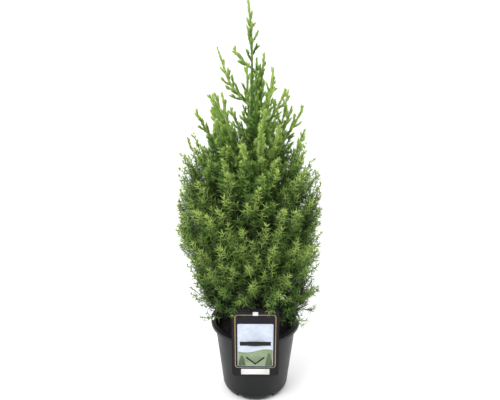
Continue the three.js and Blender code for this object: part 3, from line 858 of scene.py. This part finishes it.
def needle_mesh(needles, rows):
    """Awl-shaped needles, three-sided, with a flat upper face and a keel below."""
    root, heading, across = (needles[key][rows] for key in ("root", "heading", "across"))
    half = across * (needles["width"][rows] / 2)[:, None]
    low = np.cross(heading, across) * (needles["width"][rows] * KEEL)[:, None]
    tip = root + heading * needles["length"][rows][:, None]
    vertices = np.stack([root - half, root + half, root + low, tip], 1).reshape(-1, 3)
    return vertices, copied(NEEDLE_FACES, len(rows), len(NEEDLE_FACES))


def lathe(profile, sides):
    """A closed body from a profile of radii and heights that starts and ends on the axis."""
    profile = np.asarray(profile, float)
    turn = np.arange(sides) * 2 * np.pi / sides
    rim = profile[1:-1]
    rings = np.stack([
        np.outer(rim[:, 0], np.cos(turn)),
        np.outer(rim[:, 0], np.sin(turn)),
        np.repeat(rim[:, 1:], sides, 1),
    ], 2)
    ends = [[0, 0, profile[-1, 1]], [0, 0, profile[0, 1]]]
    return np.concatenate([rings.reshape(-1, 3), ends]), tube_faces(len(rim), sides)


def arc(centre, radius, start, end, count):
    """Points of an arc, from one angle in degrees to another."""
    turn = np.radians(np.linspace(start, end, count))
    return [[centre[0] + radius * math.cos(a), centre[1] + radius * math.sin(a)] for a in turn]


def area(loop):
    x, y = np.asarray(loop, float).T
    return 0.5 * np.sum(x * np.roll(y, -1) - y * np.roll(x, -1))


def plate(loops, low, high):
    """A flat closed plate from an outline and its holes, between two heights."""
    loops = [np.asarray(loop, float) for loop in loops]
    loops = [loop if (area(loop) > 0) == (i == 0) else loop[::-1] for i, loop in enumerate(loops)]
    flat = np.concatenate(loops)
    cap = np.array(tessellate_polygon([[Vector((x, y, 0)) for x, y in loop] for loop in loops]))
    turned = np.array([area(flat[face]) < 0 for face in cap])
    cap[turned] = cap[turned][:, ::-1]
    total = len(flat)
    faces = [cap + total, cap[:, ::-1]]
    start = 0
    for loop in loops:
        here = start + np.arange(len(loop))
        there = start + (np.arange(len(loop)) + 1) % len(loop)
        faces.append(np.stack([here, there, there + total], 1))
        faces.append(np.stack([here, there + total, here + total], 1))
        start += len(loop)
    level = [np.column_stack([flat, np.full(total, height)]) for height in (low, high)]
    return np.concatenate(level), np.concatenate(faces)


def rounded(half, top, bottom, corner):
    """The outline of an upright rectangle with round corners."""
    x = half - corner
    middles = [(x, bottom + corner), (x, top - corner), (-x, top - corner), (-x, bottom + corner)]
    starts = (-90, 0, 90, 180)
    arcs = [arc(middle, corner, start, start + 90, CORNER_POINTS) for middle, start in zip(middles, starts)]
    return sum(arcs, [])


def cut(name, body, cutters):
    """The mesh of a body with cutters taken out of it."""
    meshes = [array_mesh(name + "_cut", *pair) for pair in (body, cutters)]
    solids = [bpy.data.objects.new(mesh.name, mesh) for mesh in meshes]
    for solid in solids:
        bpy.context.scene.collection.objects.link(solid)
    change = solids[0].modifiers.new("cut", "BOOLEAN")
    change.operation = "DIFFERENCE"
    change.solver = "EXACT"
    change.object = solids[1]
    bpy.context.view_layer.update()
    graph = bpy.context.evaluated_depsgraph_get()
    mesh = bpy.data.meshes.new_from_object(solids[0].evaluated_get(graph))
    mesh.name = name
    for solid in solids:
        bpy.data.objects.remove(solid)
    return mesh


# Materials

def new_material(name, roughness, color=(0.5, 0.5, 0.5), **sockets):
    """A material with a principled shader; further sockets are given by name with _ for spaces."""
    material = bpy.data.materials.new(name)
    material.use_nodes = True
    shader = material.node_tree.nodes["Principled BSDF"]
    shader.inputs["Base Color"].default_value = (*color, 1)
    shader.inputs["Roughness"].default_value = roughness
    for socket, value in sockets.items():
        shader.inputs[socket.replace("_", " ")].default_value = value
    return material, material.node_tree, shader


def noise_of(tree, scale, detail, roughness=0.55, stretch_by=(1, 1, 1)):
    """Noise in object coordinates, stretched."""
    coordinates = tree.nodes.new("ShaderNodeTexCoord")
    mapping = tree.nodes.new("ShaderNodeMapping")
    mapping.inputs["Scale"].default_value = stretch_by
    tree.links.new(coordinates.outputs["Object"], mapping.inputs["Vector"])
    texture = tree.nodes.new("ShaderNodeTexNoise")
    texture.inputs["Scale"].default_value = scale
    texture.inputs["Detail"].default_value = detail
    texture.inputs["Roughness"].default_value = roughness
    tree.links.new(mapping.outputs["Vector"], texture.inputs["Vector"])
    return texture.outputs["Fac"]


def ramp_to(tree, value, stops, socket):
    """Colours, or greys, at places along a value, led to a socket."""
    ramp = tree.nodes.new("ShaderNodeValToRGB")
    elements = ramp.color_ramp.elements
    while len(elements) < len(stops):
        elements.new(0.5)
    for element, (position, color) in zip(elements, stops):
        element.position = position
        element.color = (*color, 1) if hasattr(color, "__len__") else (color, color, color, 1)
    tree.links.new(value, ramp.inputs["Fac"])
    tree.links.new(ramp.outputs["Color"], socket)


def bump_of(tree, shader, height, strength, distance):
    bump = tree.nodes.new("ShaderNodeBump")
    bump.inputs["Strength"].default_value = strength
    bump.inputs["Distance"].default_value = distance
    tree.links.new(height, bump.inputs["Height"])
    tree.links.new(bump.outputs["Normal"], shader.inputs["Normal"])


def patterned(name, roughness, stops, pattern, bump=None, grain=None, **sockets):
    """A material coloured along a pattern of noise, with a bump along that or along a finer grain."""
    material, tree, shader = new_material(name, roughness, **sockets)
    value = noise_of(tree, **pattern)
    ramp_to(tree, value, stops, shader.inputs["Base Color"])
    if bump:
        bump_of(tree, shader, noise_of(tree, **grain) if grain else value, **bump)
    return material, tree, shader, value


def plastic_material():
    blacks = [(0.3, (0.0060, 0.0066, 0.0066)), (0.75, (0.0095, 0.0102, 0.0102))]
    material, tree, shader, cloud = patterned(
        "pot_plastic", 0.45, blacks, {"scale": 26, "detail": 5}, {"strength": 0.12, "distance": 0.0004},
        {"scale": 1900, "detail": 2}, Specular_IOR_Level=0.22)
    ramp_to(tree, cloud, [(0.3, 0.33), (0.72, 0.44)], shader.inputs["Roughness"])
    return material


def soil_material():
    # Peat's own dark brown, darkened further to near black as painted shade under the crown.
    browns = [(0.3, (0.004, 0.003, 0.002)), (0.55, (0.010, 0.007, 0.005)), (0.8, (0.034, 0.022, 0.013))]
    crumbs = {"scale": 210, "detail": 6, "roughness": 0.7}
    return patterned("soil_mix", 0.95, browns, crumbs, {"strength": 0.8, "distance": 0.002})[0]


def bark_material():
    browns = [(0.3, (0.018, 0.012, 0.008)), (0.52, (0.055, 0.036, 0.022)), (0.75, (0.130, 0.090, 0.058))]
    strips = {"scale": 420, "detail": 6, "roughness": 0.65, "stretch_by": (1, 1, 0.16)}
    return patterned("bark", 0.88, browns, strips, {"strength": 0.6, "distance": 0.0012})[0]


def twig_material(name, dark, light):
    mottle = {"scale": 260, "detail": 4}
    bump = {"strength": 0.3, "distance": 0.0006}
    return patterned(name, 0.75, [(0.35, dark), (0.65, light)], mottle, bump)[0]


def card_material(name, dark, light, roughness):
    """Coated card: faint clouding in the print, and a fine tooth in the coating."""
    cloud = {"scale": 60, "detail": 3}
    tooth = {"scale": 2400, "detail": 2}
    bump = {"strength": 0.06, "distance": 0.0002}
    stops = [(0.3, dark), (0.7, light)]
    return patterned(name, roughness, stops, cloud, bump, tooth, Specular_IOR_Level=0.15)[0]


def floor_material():
    return patterned("floor", 0.85, [(0.3, 0.95), (0.7, 0.96)], {"scale": 0.7, "detail": 2})[0]


def needle_material(tint):
    share = 2 * tint / (TINT_COUNT - 1)
    # From the near-black green of the painted shade through the leaf green to the fresh green.
    inner = lerp(PAINTED_SHADE_GREEN, LEAF_GREEN, min(share, 1))
    color = lerp(inner, FRESH_GREEN, max(share - 1, 0))
    return new_material(f"needles_{tint}", 0.55, tuple(color), Specular_IOR_Level=0.2)[0]


# Pot, soil and label

def wall_radius(height):
    share = (height - WALL_FOOT_HEIGHT) / (POT_HEIGHT - WALL_FOOT_HEIGHT)
    return lerp(WALL_FOOT_RADIUS, WALL_TOP_RADIUS, share)


def corner_radius(height):
    """The round corner between the feet and the wall."""
    return lerp(BASE_RADIUS, WALL_FOOT_RADIUS, 1 - (1 - height / WALL_FOOT_HEIGHT) ** 2)


def floor_profile(gap):
    """The inside of the pot's floor, from its middle out to the wall, or the soil on it with a gap."""
    well = PAD_RADIUS - BASE_THICK - 2 * gap
    floor = FLOOR_RAISE + BASE_THICK + gap
    return [
        [0, BASE_THICK + gap],
        [well, BASE_THICK + gap],
        [well + PAD_DRAFT, floor],
        [WALL_FOOT_RADIUS - 2 * (WALL_THICK + gap), floor],
        [WALL_FOOT_RADIUS - WALL_THICK - gap, WALL_FOOT_HEIGHT],
    ]


def pot_profile():
    """A flat pad in the middle, a raised floor round it, a ring of feet, the wall and the flanged rim."""
    under = POT_HEIGHT - LIP_THICK
    lip_foot = POT_HEIGHT - LIP_HEIGHT
    lip_half = LIP_THICK / 2
    lip_inside = RIM_RADIUS - LIP_THICK
    inner_top = wall_radius(POT_HEIGHT) - WALL_THICK
    corner = np.linspace(FOOT_ROUND, WALL_FOOT_HEIGHT, WALL_RINGS)
    outer = np.linspace(WALL_RINGS_FROM, under - LIP_ROUND, WALL_RINGS)
    inner = np.linspace(under - 2 * WALL_THICK, WALL_RINGS_FROM, WALL_RINGS)
    return [
        [0, 0],
        *arc((PAD_RADIUS - FOOT_ROUND, FOOT_ROUND), FOOT_ROUND, -90, 0, 4),
        [PAD_RADIUS + PAD_DRAFT, FLOOR_RAISE],
        [corner_radius(FLOOR_RAISE) - FOOT_WIDTH, FLOOR_RAISE],
        *arc((BASE_RADIUS - FOOT_WIDTH + FOOT_ROUND, FOOT_ROUND), FOOT_ROUND, 180, 270, 4),
        *arc((BASE_RADIUS - FOOT_ROUND, FOOT_ROUND), FOOT_ROUND, -90, -30, 4),
        *[[corner_radius(height), height] for height in corner],
        *[[wall_radius(height), height] for height in outer],
        *arc((wall_radius(under) + LIP_ROUND, under - LIP_ROUND), LIP_ROUND, 180, 90, 5),
        *arc((lip_inside - LIP_FILLET, under - LIP_FILLET), LIP_FILLET, 90, 0, 4),
        *arc((RIM_RADIUS - lip_half, lip_foot + lip_half), lip_half, 180, 360, 9),
        *arc((RIM_RADIUS - LIP_ROUND, POT_HEIGHT - LIP_ROUND), LIP_ROUND, 0, 90, 6),
        *arc((inner_top + LIP_ROUND, POT_HEIGHT - LIP_ROUND), LIP_ROUND, 90, 180, 6),
        *[[wall_radius(height) - WALL_THICK, height] for height in inner],
        *floor_profile(0)[::-1],
    ]


def stood(pair, turn, out):
    """A plate drawn in the upright plane, set across a radius of the pot and turned round its axis."""
    vertices, faces = pair
    across, height, thick = vertices.T
    away = out + thick
    c, s = math.cos(turn), math.sin(turn)
    return np.column_stack([away * c - across * s, away * s + across * c, height]), faces


def notch_plate(width, height, bend, reach, flare, below):
    """What one notch takes out of the foot: an arch that flares below."""
    half = width / 2
    arch = [
        [-half - flare, -below],
        [half + flare, -below],
        [half, flare],
        *arc((half - bend, height - bend), bend, 0, 90, 6),
        *arc((bend - half, height - bend), bend, 90, 180, 6),
        [-half, flare],
    ]
    return plate([arch], -reach, reach)


def pot_cutters():
    """Notches in the foot and slots in the rim."""
    notch = notch_plate(**NOTCH)
    cutters = [stood(notch, 2 * math.pi * i / NOTCH_COUNT, BASE_RADIUS) for i in range(NOTCH_COUNT)]
    half_length = HOOK_SLOT["length"] / 2
    slot = np.array(rounded(HOOK_SLOT["width"] / 2, half_length, -half_length, HOOK_SLOT["round"]))
    for side in (-1, 1):
        outline = slot + [side * HOOK_SLOT["radius"], 0]
        cutters.append(plate([outline], POT_HEIGHT - 2 * LIP_THICK, POT_HEIGHT + LIP_THICK))
    return joined(cutters)


def make_pot():
    mesh = cut("pot_shell", lathe(pot_profile(), POT_SIDES), pot_cutters())
    add_piece(mesh, plastic_material(), True, "pot_plastic", "pot")
    mesh.set_sharp_from_angle(angle=math.radians(POT_CREASE))


def soil_height(x, y):
    out = np.hypot(x, y) / wall_radius(SOIL_LEVEL)
    level = SOIL_LEVEL - SOIL_DIP * smoothstep(out, SOIL_DIP_FROM, 1)
    lumps = [
        [height * noise.noise((a * pitch, b * pitch, seed)) for a, b in zip(x, y)]
        for height, pitch, seed in SOIL_LUMPS
    ]
    return level + np.sum(lumps, 0)


def make_soil():
    edge = wall_radius(SOIL_LEVEL - SOIL_DIP) - (WALL_THICK + GAP)
    top = [[edge * share, SOIL_LEVEL] for share in np.linspace(1, 0, SOIL_RINGS)]
    vertices, faces = lathe([*floor_profile(GAP), *top], SOIL_SIDES)
    surface = vertices[:, 2] == SOIL_LEVEL
    vertices[surface, 2] = soil_height(vertices[surface, 0], vertices[surface, 1])
    material = soil_material()
    add_piece(array_mesh("soil_body", vertices, faces), material, True, "soil_mix", "soil")
    add_piece(array_mesh("soil_crumbs", *crumb_arrays(edge, **CRUMB)), material, False, "soil_mix")


def ball_arrays():
    """Corners and triangles of an icosahedron."""
    golden = (1 + math.sqrt(5)) / 2
    pairs = [(a, b * golden) for a in (-1, 1) for b in (-1, 1)]
    corners = np.array([np.roll([0, a, b], turn) for turn in range(3) for a, b in pairs], float)
    gaps = np.linalg.norm(corners[:, None] - corners[None], axis=2)
    near = np.abs(gaps - 2) < 0.01
    triples = [(i, j, k) for i in range(len(corners)) for j in range(i) for k in range(j)]
    faces = np.array([(i, j, k) for i, j, k in triples if near[i, j] and near[j, k] and near[i, k]])
    a, b, c = corners[faces.T]
    inward = (np.cross(b - a, c - a) * a).sum(1) < 0
    faces[inward] = faces[inward][:, ::-1]
    return unit(corners), faces


def crumb_arrays(edge, count, inset, sizes, power, dents, lengths, lift, channel):
    """Loose crumbs of bark and peat, each a dented lump, half sunk in the soil."""
    corners, faces = ball_arrays()
    number = np.arange(count)
    out = (edge - inset) * np.sqrt(chance(number, 0, channel))
    turn = 2 * np.pi * chance(number, 0, channel + 1)
    x, y = out * np.cos(turn), out * np.sin(turn)
    size = lerp(*sizes, chance(number, 0, channel + 2) ** power)
    dented = lerp(*dents, chance(number[:, None], np.arange(len(corners)), channel + 3))
    stretched = np.stack([lerp(*lengths, chance(number, axis, channel + 4)) for axis in range(3)], 1)
    lumps = corners * dented[:, :, None] * (stretched * size[:, None])[:, None]
    place = np.column_stack([x, y, soil_height(x, y) + lift * size])
    return (lumps + place[:, None]).reshape(-1, 3), copied(faces, count, len(corners))


def card_holes():
    wide, deep = CARD_SLOT["half"], -CARD_SLOT["height"]
    slot = [[-wide, 0], [-wide, deep], [wide, deep], [wide, 0]]
    half, shoulder = CHEVRON["half"], CHEVRON["shoulder"]
    line = [[half, shoulder], [0, CHEVRON["point"]], [-half, shoulder]]
    return slot, line + [[x, y - CHEVRON["band"]] for x, y in reversed(line)]


def hill(crest, sway, start, turns, points):
    """A low rounded hill across the printed panel."""
    share = np.linspace(0, 1, points)
    y = crest + sway * np.sin(np.pi * (start + turns * share))
    line = np.column_stack([lerp(PRINT_WIDE, -PRINT_WIDE, share), y]).tolist()
    return [[-PRINT_WIDE, PRINT_FLOOR], [PRINT_WIDE, PRINT_FLOOR], *line]


def mound(left, right, crest, power, points):
    """A smaller mound in front of the hill."""
    share = np.linspace(0, 1, points)
    y = lerp(PRINT_FLOOR, crest, np.sin(np.pi * share) ** power)
    return np.column_stack([lerp(right, left, share), y]).tolist()


def drawn_in(sizes, line):
    """The sizes of a rounded rectangle, drawn in by a line's width all round."""
    return {key: size + line if key == "bottom" else size - line for key, size in sizes.items()}


def make_card():
    """The card and its print: a gold line, a pale panel with low hills, a plain tab and a plain strip."""
    place = Matrix.Translation((0, -CARD_DEPTH * MM, (POT_HEIGHT + GAP) * MM))
    place = place @ Matrix.Rotation(math.radians(90 + CARD_TILT), 4, "X")
    slot, chevron = card_holes()
    outline = rounded(CARD_WIDTH / 2, CARD_ABOVE_RIM, -CARD_BELOW_RIM, CARD_CORNER)
    gold_line = [rounded(**GOLD_FRAME), rounded(**drawn_in(GOLD_FRAME, GOLD_LINE))]
    left, right = MOUND_CRESTS
    prints = [
        ("card_body", "card_black", [outline, slot, chevron], 0),
        ("card_gold_line", "card_gold", gold_line, 1),
        ("card_panel", "card_panel", [rounded(**PANEL), slot, chevron], 1),
        ("card_hill", "card_hill_far", [hill(**HILL), chevron], 2),
        ("card_mound_left", "card_hill_near", [mound(-PRINT_WIDE, -MOUND_EDGE, left, **MOUND)], 3),
        ("card_mound_right", "card_hill_near", [mound(MOUND_EDGE, PRINT_WIDE, right, **MOUND)], 3),
        ("card_tab", "card_white", [rounded(**TOP_TAB)], 2),
        ("card_strip", "card_white", [rounded(**STRIP)], 1),
    ]
    looks = {name: card_material(name, *look) for name, look in CARD_LOOKS.items()}
    for name, look, loops, level in prints:
        low = CARD_THICK - PRINT_THICK if level else 0
        mesh = array_mesh(name, *plate(loops, low, CARD_THICK + level * PRINT_THICK))
        mesh.transform(place)
        add_piece(mesh, looks[look], False, "label_stock", *([] if level else ["label_card"]))


# Trunk and boughs

def bark_noise(away, height, seed, rule):
    return noise.noise((away.x * rule["round"] + seed, away.y * rule["round"], height * rule["along"]))


def bark_limb(path, radii, sides, seed):
    """A limb with the relief of bark: long shallow furrows that wander, and flaking strips between them."""
    vertices, faces = tubes(path[None], radii[None], sides)
    rings = len(path) - 1
    body = vertices[: rings * sides].reshape(rings, sides, 3)
    for middle, ring in zip(path, body):
        for side in range(sides):
            out = ring[side] - middle
            away = Vector(out).normalized()
            furrow = abs(bark_noise(away, ring[side][2], seed, FURROW)) * FURROW["sharp"]
            flake = bark_noise(away, ring[side][2], seed, FLAKE)
            relief = FURROW["depth"] * furrow - FURROW["sunk"] + FLAKE["depth"] * flake
            ring[side] = middle + out * (1 + relief)
    return vertices, faces


def make_limbs():
    share = np.linspace(-TRUNK_MESH["sunk"], 1, TRUNK_MESH["rings"])
    parts = [bark_limb(bezier(TRUNK_CURVE, share), trunk_radius(share), TRUNK_MESH["sides"], 0)]
    share = np.linspace(0, 1, BOUGH_MESH["rings"])
    for shoot in BOUGH_SHOOTS:
        path = bezier(shoot["curve"], share * (BOUGH_SHARE + BOUGH_MESH["overlap"]))
        parts.append(bark_limb(path, bough_radius(shoot, share), BOUGH_MESH["sides"], shoot["index"]))
    nodes = ["trunk"] + [f"bough_{shoot['index'] + 1:02d}" for shoot in BOUGH_SHOOTS]
    add_piece(array_mesh("bark_limbs", *joined(parts)), bark_material(), True, "bark", *nodes)


# Foliage

def twig_tubes(paths, foot, tip, sides):
    """Tubes along twigs, from foot more than tip in radius at the start down to tip at the end."""
    radii = np.outer(np.ones(len(paths)) * foot, np.linspace(1, 0, paths.shape[1])) + tip
    return tubes(paths, radii, sides)


def make_twigs(growth, nodes):
    axes = growth["axes"]["paths"]
    stems = axes[:len(MASSES)]
    stem_foot = np.array([STEM_FOOT * bough_radius(shoot, 0) for shoot in SHOOTS] + [TRUNK_TIP])
    plumes = resampled(axes[len(MASSES):], PLUME_WOOD_POINTS)
    tufts = resampled(growth["tufts"]["paths"], TUFT_WOOD_POINTS)
    sprigs = growth["sprigs"]["paths"][:, [0, -1]]
    wood = [twig_tubes(stems, stem_foot, **STEM_WOOD), twig_tubes(plumes, **PLUME_WOOD)]
    fine = [twig_tubes(tufts, **TUFT_WOOD), twig_tubes(sprigs, **SPRIG_WOOD)]
    brown, green = (twig_material(name, *look) for name, look in TWIG_LOOKS.items())
    for name, parts, material in (("stems", wood, brown), ("tufts", fine, green)):
        add_piece(array_mesh(name, *joined(parts)), material, True, "bark", *nodes)


def all_needles(growth):
    """Needles on stems, plumes, tufts and sprigs and on the trunk's top, with a tint for each spray."""
    axes, tufts, sprigs = growth["axes"], growth["tufts"], growth["sprigs"]
    trunk_share = np.linspace(LEAFY_TRUNK, 1, STEM_POINTS)
    trunk_top = bezier(TRUNK_CURVE, trunk_share)[None]
    trunk_roots = trunk_radius(trunk_share[[0, -1]])
    axis_chance = chance(np.arange(len(axes["paths"])), 0, CHANNEL["axis_tint"])
    own_chance = chance(np.arange(len(tufts["paths"])), 0, CHANNEL["tuft_tint"])
    tuft_chance = lerp(axis_chance[tufts["parent"]], own_chance, TUFT_OWN_CHANCE)
    axis_tint = tint_rule(axes["paths"][:, -3], AXIS_TINT_SHARE, axis_chance)
    tuft_tint = tint_rule(tufts["paths"][:, -1], tufts["share"], tuft_chance)
    kinds = [
        ("axes", axis_tint, axes["bare"] * (1 - scaly_share(axes["paths"]))),
        ("tufts", tuft_tint, lerp(*TUFT_FOOT, scaly_share(tufts["paths"]))),
        ("sprigs", tuft_tint[sprigs["parent"]], np.full(len(sprigs["parent"]), SPRIG_FOOT)),
    ]
    sets = [
        *[needles_on(trunk_top, np.array([tint]), np.zeros(1), trunk_roots, CHANNEL["trunk"] + tint)
          for tint in TRUNK_TINTS],
        *[needles_on(growth[kind]["paths"], tint, foot, ROOTS[kind], CHANNEL[kind])
          for kind, tint, foot in kinds],
    ]
    return together(sets)


def make_needles(needles, nodes):
    """One piece for each tint, or more where a piece would have too many triangles."""
    most = PIECE_TRIANGLES // len(NEEDLE_FACES)
    for tint in range(TINT_COUNT):
        rows = np.flatnonzero(needles["tint"] == tint)
        material = needle_material(tint)
        for number, part in enumerate(np.array_split(rows, max(1, math.ceil(len(rows) / most)))):
            mesh = array_mesh(f"needles_{tint}_{number}", *needle_mesh(needles, part))
            add_piece(mesh, material, False, "needles", *nodes)


def make_foliage():
    nodes = [f"foliage_{shoot['index'] + 1:02d}" for shoot in SHOOTS] + ["foliage_leader"]
    growth = grow_crown()
    make_twigs(growth, nodes)
    make_needles(all_needles(growth), nodes)


# Stage, light and camera

def make_stage():
    corners = np.array([[-1, -1, 0], [1, -1, 0], [1, 1, 0], [-1, 1, 0]]) * FLOOR_HALF / MM
    faces = np.array([[0, 1, 2], [0, 2, 3]])
    new_object("floor", array_mesh("floor", corners, faces), floor_material(), False)


def make_light():
    world = bpy.data.worlds.new("studio")
    bpy.context.scene.world = world
    world.use_nodes = True
    sky = world.node_tree.nodes["Background"]
    sky.inputs["Color"].default_value = (1, 1, 1, 1)
    sky.inputs["Strength"].default_value = SKY_STRENGTH
    for name, place, aim, size, power in LIGHTS:
        light = bpy.data.lights.new(name, "AREA")
        light.shape = "DISK"
        light.size = size
        light.energy = power
        lamp = bpy.data.objects.new(name, light)
        lamp.location = place
        lamp.rotation_euler = (Vector(aim) - Vector(place)).to_track_quat("-Z", "Y").to_euler()
        bpy.context.scene.collection.objects.link(lamp)
    bpy.context.scene.view_settings.view_transform = "Standard"


def make_camera():
    data = bpy.data.cameras.new("camera")
    data.sensor_width = SENSOR
    data.lens = FOCAL_PIXELS / PICTURE_PIXELS * SENSOR
    camera = bpy.data.objects.new("camera", data)
    camera.location = (0, -CAMERA_DISTANCE * MM, CAMERA_HEIGHT * MM)
    camera.rotation_euler = Euler((math.radians(90 - CAMERA_PITCH), 0, math.radians(CAMERA_YAW)))
    bpy.context.scene.collection.objects.link(camera)
    bpy.context.scene.camera = camera


make_camera()
make_light()
make_stage()
make_pot()
make_soil()
make_card()
make_limbs()
make_foliage()
